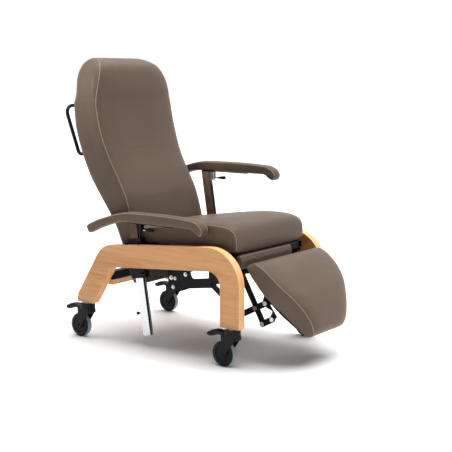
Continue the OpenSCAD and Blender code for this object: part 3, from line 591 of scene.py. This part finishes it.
def material_kit():
    """The chair's materials, made once from the settings."""
    if KIT:
        return KIT
    soft, wood, metal, roll = (settings(n) for n in ("upholstery", "wood", "metal", "casters"))
    zinc, silver = tuple(metal.zinc) + (1,), tuple(metal.silver) + (1,)
    drawn = (1, 1, 0.03)
    KIT.update({
        "leather": leatherette("leatherette", tuple(soft.face)),
        # The piping's lighter leatherette is a painted highlight along the seams
        "seam": leatherette("leatherette piping, painted lighter as a highlight", tuple(soft.seam), 0.42),
        "cover": leatherette("leatherette rear cover", shade(tuple(soft.face), 0.75), 0.5),
        "beech": varnished_beech("varnished beech", *(tuple(c) + (1,) for c in (
            wood.light, wood.dark, wood.rim))),
        "steel": coated("powder-coated steel", tuple(metal.paint)),
        "gloss": coated("gloss black painted steel", linear("#141415"), 0.22, 1.1, 0.02),
        "zinc": bright_metal("zinc-plated steel", zinc, 0.3),
        "chrome": bright_metal("hard-chromed steel", linear("#d9dbdc"), 0.14, (1, 0.05, 1)),
        # Painted reflections on the posts' sides: pale on the raised left post, dark in the pad's
        # shade on the right
        "post_left": bright_metal("aluminium, anodised, with painted reflection", silver, 0.27, drawn, "#c4b5ab"),
        "post_right": bright_metal("aluminium, anodised, with painted reflection in shade", silver, 0.27, drawn, "#483a32"),
        "nylon": coated("black nylon", tuple(roll.shell), 0.4, 2.4, 0.05),
        "tread": coated("grey thermoplastic rubber", tuple(roll.tread), 0.55, 3.8, 0.05, 1.15),
        "cable": coated("black cable sheath", linear("#262626"), 0.35, 0.8, 0.03),
    })
    return KIT


def clothe(nodes, material, radius=None, steps=2):
    """Gives CAD nodes that stay in view a material and, with a radius, softened edges."""
    for name in nodes:
        obj = FRAME["nodes"][name]
        obj.data.materials.clear()
        obj.data.materials.append(material)
        if radius:
            round_edges(obj, radius, steps)


def repaint(node, material, chosen):
    """Gives another material to the faces of a CAD node that are chosen by centre and normal."""
    obj = FRAME["nodes"][node]
    obj.data.materials.append(material)
    index = len(obj.data.materials) - 1
    for face in obj.data.polygons:
        if chosen(face.center, face.normal):
            face.material_index = index


# Sizes and places

# Edges of the soft pieces: Y, Z and change of half width, in mm
SEAT_EDGE = [(531, 470, -9), (521, 484, -3), (498, 493, -1), (430, 503, 0), (350, 515, 0),
             (250, 529, 0), (160, 538, 0), (80, 536, 0), (46, 528, 0), (30, 514, -2), (22, 496, -5),
             (20, 470, -8), (21, 437, -9)]
BACK_EDGE = [(524, 350, 0), (535, 405, 0), (546, 455, 0), (560, 525, 0), (584, 608, 0),
             (612, 660, 1), (640, 710, 2), (668, 760, 4), (697, 826, 10), (722, 908, 13),
             (740, 995, 8), (741, 1045, -6), (749, 1096, -26), (766, 1138, -50), (791, 1158, -72),
             (821, 1170, -92)]
LEG_EDGE = [(-40, 386, 202), (-54, 400, 222), (-67, 401, 230), (-84, 396, 234), (-107, 384, 234),
            (-145, 354, 230), (-177, 321, 221), (-208, 288, 199), (-224, 262, 181),
            (-239, 235, 163), (-251, 205, 146), (-258, 177, 131), (-259, 149, 118),
            (-252, 131, 108), (-244, 122, 98)]
ARM_EDGE = [(765, 474, -6), (762, 483, -3), (709, 506, 0), (653, 524, 0), (600, 540, 0),
            (548, 550, 0), (503, 553, 0), (423, 554, 0), (333, 554, 0), (208, 549, 0),
            (178, 543, 0), (157, 530, -1), (147, 512, -3), (151, 500, -6), (164, 490, -8)]
# Half widths of the seat, the back and an armrest pad at their seams, in mm; the leg rest's rows
# have its whole half width
SEAT_HALF, BACK_HALF, ARM_HALF = 240, 236, 25
# X of an armrest pad's middle, and how far the left one is raised along its post, in mm
ARM_MIDDLE, ARM_RISE = 266.5, 173
POST_TILT = math.radians(9)
ARM_RAISED = (ARM_RISE * math.sin(POST_TILT), ARM_RISE * math.cos(POST_TILT))
# On a lowered armrest, the Y where its lever's grip begins and the Z below which its plate has
# ears, in mm
LEVER_GRIP, ARM_UNDER = 460, 509
# Outer face of the link plates in mm from the middle, and their bolts: Y, Z and radius in mm
PLATE_FACE = 196
PLATE_BOLTS = [(378, 289, 6.5), (358, 288, 4.5), (368, 251, 5.5), (303, 311, 6)]
# Distance from the middle beyond which only the heads of the linkage's pins lie, in metres
PIN_HEADS = 0.2075
# Side of a pedal's tread: Y from the pedal's end and Z in mm; then its top's height and slope
PEDAL_TREAD = [(-46, 139), (-30, 138), (-12, 134), (3, 129), (8, 124), (6, 116), (-4, 113),
               (-20, 116), (-36, 121), (-46, 127)]
PEDAL_TOP = (131.5, 0.23)
# Side of a rib on the tread: Y and Z from the tread's top, in mm; then the first rib's distance
# from the pedal's end, the ribs' spacing, and their distance from the tread's sides
RIB = [(0, -2), (2.6, -2), (2.6, 0.8), (0, 1.6)]
RIB_FIRST, RIB_STEP, RIB_INSET = 10, 7.5, 4
# Radii of the edges that have no setting, in metres
EDGES = {"panel": 0.002, "board": 0.001, "bolt": 0.0005, "post": 0.0009, "lever": 0.0005,
         "fork": 0.0012, "wheel": 0.0006, "tread": 0.0024, "rib": 0.0004}
# Where the studio's light comes from, how far its floor reaches, and the sun's turn and width in
# degrees: the sun stands a little in front of the chair and to its left
SKY_LIGHT = (0.56, 0.2, 0.8)
FLOOR_REACH = 30
SUN_TURN, SUN_WIDTH = (3, 9, 0), 52
# The lamp for the head, the place that it lights and its radius, in metres, and its beam in degrees
HEAD_LAMP = (-1.2, 0.8, 1.66)
HEAD_SIDE = (-0.25, 0.44, 1.07)
HEAD_SOFT, HEAD_BEAM = 0.12, 19
# The camera's place in metres, and its azimuth and elevation in degrees
CAMERA_AT = (-3.3248, -2.6198, 1.1104)
CAMERA_ANGLES = (-52.94, 8.47)


# Operators

class Stage(bpy.types.Operator):
    """What the chair's operators have in common."""

    bl_options = {"REGISTER", "UNDO"}

    def execute(self, context):
        """Builds the pieces. A failure stops the script with its own message."""
        if not FRAME["nodes"]:
            raise RuntimeError("the packed chair has no nodes")
        self.build(context)
        return {"FINISHED"}


class CHAIR_OT_seat_cushion(Stage):
    """Stuffed seat cushion, with piping along its upper edges"""

    bl_idname = "chair.seat_cushion"
    bl_label = "Seat cushion"

    def build(self, context):
        """Makes the cushion and covers the panel below its front edge."""
        kit, soft = material_kit(), settings("upholstery")
        seams = edge_lines(SEAT_EDGE, SEAT_HALF)
        # The cover comes down round the board
        fill = [("seat_cushion", (0, 0, -drop * MM), 1) for drop in (6, 12)]
        cushion = stuffed("seat_cushion_cover", ["seat_cushion"], seams,
                          soft.voxel, soft.limit, fill=fill)
        finished(cushion, "chassis", kit["leather"])
        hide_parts("seat_cushion", "seat_board")
        sew(cushion, "seat_cushion_piping", seams, "chassis")
        clothe(["seat_front_panel"], kit["leather"], EDGES["panel"], 3)


class CHAIR_OT_back_cushion(Stage):
    """Stuffed back with its head, its rear cover and the piping down its edges"""

    bl_idname = "chair.back_cushion"
    bl_label = "Back cushion"

    def build(self, context):
        """Makes the cushion and the rear cover; both turn with the back."""
        kit, soft = material_kit(), settings("upholstery")
        seams = edge_lines(BACK_EDGE, BACK_HALF)
        # The rear cover's sides reach forward over the cushion's rear corners
        fill = [("back_cover", (0, -reach * MM, reach * MM / 4), 1) for reach in (6, 12, 18, 24)]
        # Its upper edge runs out over the head, narrower the higher it rises
        fill += [("back_cover", (0, -rise * MM / 4, rise * MM), 1 - rise / 1500)
                 for rise in (7, 14, 21, 28, 35)]
        cushion = stuffed("back_cushion_cover", ["back_cushion", "back_cover"], seams,
                          soft.voxel, soft.limit, firm=["back_cover"], fill=fill)
        finished(cushion, "back", kit["leather"])
        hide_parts("back_cushion", "back_cover")
        sew(cushion, "back_cushion_piping", seams, "back")
        clothe(["back_board"], kit["cover"], EDGES["board"])


class CHAIR_OT_leg_rest_pad(Stage):
    """Stuffed pad of the leg rest"""

    bl_idname = "chair.leg_rest_pad"
    bl_label = "Leg rest pad"

    def build(self, context):
        """Makes the pad and its piping."""
        kit, soft = material_kit(), settings("upholstery")
        seams = edge_lines(LEG_EDGE, 0)
        pad = stuffed("leg_rest_pad_cover", ["leg_rest_pad"], seams, soft.voxel, soft.limit)
        finished(pad, "leg_rest", kit["leather"])
        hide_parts("leg_rest_pad")
        sew(pad, "leg_rest_piping", seams, "leg_rest")


class CHAIR_OT_arm_pads(Stage):
    """Stuffed pads of the armrests"""

    bl_idname = "chair.arm_pads"
    bl_label = "Armrest pads"

    def build(self, context):
        """Makes both pads; the left one stands raised."""
        kit = material_kit()
        for name, side in SIDES.items():
            lift = ARM_RAISED if name == "left" else (0, 0)
            seams = edge_lines(ARM_EDGE, ARM_HALF, side * ARM_MIDDLE, lift)
            # A thin pad has finer cells and swells less
            pad = stuffed(f"arm_pad_cover_{name}", [f"arm_pad_{name}"], seams,
                          voxel=0.004, limit=0.008, hold=0.005)
            finished(pad, f"arm_{name}", kit["leather"])
            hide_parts(f"arm_pad_{name}")
            sew(pad, f"arm_pad_piping_{name}", seams, f"arm_{name}")


class CHAIR_OT_woodwork(Stage):
    """Varnished beech side frames and rear rail"""

    bl_idname = "chair.woodwork"
    bl_label = "Woodwork"

    def build(self, context):
        """Rounds the wood's edges and gives it its grain."""
        kit, wood = material_kit(), settings("wood")
        clothe(["side_frame_right", "side_frame_left", "rear_wood_rail"], kit["beech"],
               wood.rounding, 4)


class CHAIR_OT_metalwork(Stage):
    """Linkage, tubes, back frame, gas spring and push bar"""

    bl_idname = "chair.metalwork"
    bl_label = "Metalwork"

    def build(self, context):
        """Paints the steel, bolts the link plates on and brightens the heads of the pins."""
        kit, metal = material_kit(), settings("metal")
        clothe(["rear_cross_tube", "front_cross_tube", "middle_cross_tube", "link_plate_right",
                "link_plate_left", "seat_frame", "post_sleeve_right", "post_sleeve_left", "back_frame",
                "long_link_right", "long_link_left", "cross_links", "control_links", "pad_links",
                "leg_rest_frame", "gas_spring_cylinder", "arm_plate_right", "arm_plate_left"],
               kit["steel"], metal.rounding)
        clothe(["push_bar"], kit["gloss"])
        clothe(["back_pivot_pins", "caster_stems"], kit["zinc"], EDGES["bolt"])
        clothe(["frame_bolts", "arm_stop_bolt_right", "arm_stop_bolt_left"], kit["steel"],
               EDGES["bolt"])
        clothe(["gas_spring_rod"], kit["chrome"])
        for name, side in SIDES.items():
            self.fasteners(name, side, kit["zinc"])
        for node in ("link_plate_right", "link_plate_left", "long_link_right", "long_link_left",
                     "control_links", "leg_rest_frame"):
            repaint(node, kit["zinc"], lambda at, normal: abs(at.x) > PIN_HEADS)

    def fasteners(self, name, side, material):
        """Hexagon bolts through the rear of a link plate, each on a washer."""
        parts = []
        for y, z, radius in PLATE_BOLTS:
            for reach, wide, corners in ((1.6, radius + 3, 24), (6.5, radius, 6)):
                turns = [math.tau * (count + 0.5) / corners for count in range(corners)]
                outline = [place(0, y + wide * math.cos(turn), z + wide * math.sin(turn)).yz
                           for turn in turns]
                part = extruded("bolt", outline, side * (PLATE_FACE - 1) * MM,
                                side * (PLATE_FACE + reach) * MM)
                parts.append(round_edges(part, EDGES["bolt"], 1))
        finished(joined(f"plate_bolts_{name}", parts), "chassis", material)


class CHAIR_OT_armrests(Stage):
    """Armrest posts, levers and release cables"""

    bl_idname = "chair.armrests"
    bl_label = "Armrest posts"

    def build(self, context):
        """Finishes the posts and the release gear."""
        kit = material_kit()
        for name in SIDES:
            # A black strip fills the front of each post
            clothe([f"arm_post_{name}"], kit[f"post_{name}"], EDGES["post"], 3)
            repaint(f"arm_post_{name}", kit["gloss"], lambda at, normal: normal.y < -0.8)
            # The lever's rod is bright and its grip black
            clothe([f"arm_lever_{name}"], kit["nylon"], EDGES["lever"])
            grip = place(0, LEVER_GRIP + (ARM_RAISED[0] if name == "left" else 0), 0).y
            repaint(f"arm_lever_{name}", kit["chrome"], lambda at, normal: at.y > grip)
        clothe(["release_cable_right", "release_cable_left"], kit["cable"])
        # Only the left armrest's plate gets zinc ears, a painted highlight where they catch the light;
        # the right ones stay black, as painted shade
        ears = (ARM_UNDER + ARM_RAISED[1]) * MM
        repaint("arm_plate_left", kit["zinc"], lambda at, normal: at.z < ears)


class CHAIR_OT_casters(Stage):
    """Casters with their brake pedals"""

    bl_idname = "chair.casters"
    bl_label = "Casters"

    def build(self, context):
        """Finishes the forks, pedals, wheels and tyres."""
        kit = material_kit()
        for end, side in CORNERS:
            corner = f"{end}_{side}"
            clothe([f"caster_fork_{corner}", f"caster_pedal_{corner}"], kit["nylon"],
                   EDGES["fork"])
            clothe([f"caster_wheel_{corner}"], kit["nylon"], EDGES["wheel"])
            clothe([f"caster_tyre_{corner}"], kit["tread"])
            self.pedal_tread(corner, kit["nylon"])
            # The tyre's sides are the wheel's black; the grey shows on the tread only
            repaint(f"caster_tyre_{corner}", kit["nylon"], lambda at, normal: abs(normal.x) > 0.5)

    def pedal_tread(self, corner, material):
        """The thick ribbed tread moulded round the end of a brake pedal."""
        low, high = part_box(f"caster_pedal_{corner}")
        middle, end = (low[0] + high[0]) / 2, high[1]
        half = settings("casters").tread_width / 2
        outline = [(end + y * MM, z * MM) for y, z in PEDAL_TREAD]
        tread = extruded("tread", outline, middle - half, middle + half)
        parts = [round_edges(tread, EDGES["tread"], 3)]
        for count in range(settings("casters").ribs):
            forward = RIB_FIRST + RIB_STEP * count
            top = PEDAL_TOP[0] + forward * PEDAL_TOP[1]
            outline = [(end + (y - forward) * MM, (top + z) * MM) for y, z in RIB]
            rib = extruded("rib", outline, middle - half + RIB_INSET * MM,
                           middle + half - RIB_INSET * MM)
            parts.append(round_edges(rib, EDGES["rib"], 1))
        whole = joined(f"caster_pedal_tread_{corner}", parts)
        finished(whole, f"pedal_{corner}", material)


class CHAIR_OT_studio(Stage):
    """Pale floor, soft lights and the camera"""

    bl_idname = "chair.studio"
    bl_label = "Studio"

    def build(self, context):
        """Makes the floor, the lights and the camera."""
        studio = settings("studio")
        context.scene.view_settings.view_transform = "Standard"
        floor = add_mesh("studio_floor", [(x * FLOOR_REACH, y * FLOOR_REACH, 0) for x, y in (
            (-1, -1), (1, -1), (1, 1), (-1, 1))], [(0, 1, 2, 3)])
        paper, at = new_material("white studio paper")
        fibres = noise(paper, at, cycles(17), 2)
        floor.data.materials.append(surfaced(paper, {
            "Base Color": tuple(studio.floor) + (1,), "Roughness": 0.85, "Specular IOR Level": 0.1,
            "Normal": relief(paper, fibres, 0.05, 0.3)}))
        self.surround(context.scene, studio)
        self.lights(studio)
        self.camera(context.scene, studio)

    def surround(self, scene, studio):
        """White behind the chair. Its light comes from above and from the backdrop, and the studio
        is dim on the camera's side, which leaves the chair's flank darker than its top."""
        world = bpy.data.worlds.new("studio surround")
        scene.world = world
        world.use_nodes = True
        world.node_tree.nodes.clear()
        seen = add(world, "ShaderNodeBackground", {"Color": grey(1), "Strength": 1.0})
        toward = add(world, "ShaderNodeVectorMath", {
            0: add(world, "ShaderNodeTexCoord", out="Generated"), 1: SKY_LIGHT},
            operation="DOT_PRODUCT", out="Value")
        lit = add(world, "ShaderNodeBackground", {
            "Color": ramp(world, toward, (0, grey(0.05)), (0.8, grey(1))),
            "Strength": studio.around})
        path = add(world, "ShaderNodeLightPath", out=None).outputs
        looked_at = path["Is Camera Ray"]
        for ray in ("Is Glossy Ray", "Is Transmission Ray"):
            looked_at = add(world, "ShaderNodeMath", {0: looked_at, 1: path[ray]},
                            operation="MAXIMUM")
        sky = add(world, "ShaderNodeMixShader", {"Fac": looked_at, 1: lit, 2: seen})
        add(world, "ShaderNodeOutputWorld", {"Surface": sky}, out=None)

    def lights(self, studio):
        """A wide sun overhead that lights the whole floor, and a small soft lamp on the camera's
        side for the side of the head."""
        sun = bpy.data.lights.new("overhead", "SUN")
        sun.energy = studio.above
        sun.angle = math.radians(SUN_WIDTH)
        spot = bpy.data.lights.new("head", "SPOT")
        spot.energy = studio.head
        spot.shadow_soft_size = HEAD_SOFT
        spot.spot_size = math.radians(HEAD_BEAM)
        spot.spot_blend = 1
        aim = Vector(HEAD_LAMP) - Vector(HEAD_SIDE)
        # Only a sun's turn matters, and not its place
        for data, turn, at in ((sun, Euler([math.radians(a) for a in SUN_TURN]), (0, 0, 3)),
                               (spot, aim.to_track_quat("Z", "Y").to_euler(), HEAD_LAMP)):
            lamp = linked(data.name, data)
            lamp.rotation_euler, lamp.location = turn, at

    def camera(self, scene, studio):
        """The camera of the picture: from the front right, a little above the seat."""
        data = bpy.data.cameras.new("camera")
        data.sensor_width = 36
        data.lens = studio.lens / MM
        camera = linked("camera", data)
        azimuth, elevation = (math.radians(angle) for angle in CAMERA_ANGLES)
        back = Vector((math.sin(azimuth) * math.cos(elevation),
                       -math.cos(azimuth) * math.cos(elevation), math.sin(elevation)))
        turn = back.to_track_quat("Z", "Y").to_matrix().to_4x4()
        camera.matrix_world = Matrix.Translation(CAMERA_AT) @ turn
        scene.camera = camera


class CHAIR_PT_panel(bpy.types.Panel):
    """The chair's stages, in the order they run"""

    bl_idname = "CHAIR_PT_panel"
    bl_label = "Reclining chair"
    bl_space_type = "VIEW_3D"
    bl_region_type = "UI"
    bl_category = "Chair"

    def draw(self, context):
        """A button for each stage, then its settings."""
        for stage in STAGES:
            self.layout.operator(stage.bl_idname)
        for name, group in GROUPS.items():
            box = self.layout.box()
            box.label(text=name.capitalize())
            for prop in group.__annotations__:
                box.prop(getattr(context.scene, "chair_" + name), prop)


GROUPS = {"upholstery": UpholsterySettings, "wood": WoodSettings, "metal": MetalSettings,
          "casters": CasterSettings, "studio": StudioSettings}
STAGES = [CHAIR_OT_seat_cushion, CHAIR_OT_back_cushion, CHAIR_OT_leg_rest_pad,
          CHAIR_OT_arm_pads, CHAIR_OT_woodwork, CHAIR_OT_metalwork, CHAIR_OT_armrests,
          CHAIR_OT_casters, CHAIR_OT_studio]
CLASSES = list(GROUPS.values()) + STAGES + [CHAIR_PT_panel]


def register():
    """Registers the settings, the operators and the panel."""
    for cls in CLASSES:
        bpy.utils.register_class(cls)
    for name, group in GROUPS.items():
        setattr(bpy.types.Scene, "chair_" + name, PointerProperty(type=group))


def unregister():
    """Takes them away again."""
    for name in GROUPS:
        delattr(bpy.types.Scene, "chair_" + name)
    for cls in reversed(CLASSES):
        bpy.utils.unregister_class(cls)


def main():
    """Registers the chair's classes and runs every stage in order."""
    register()
    for stage in STAGES:
        area, name = stage.bl_idname.split(".")
        getattr(getattr(bpy.ops, area), name)()


if __name__ == "__main__":
    main()
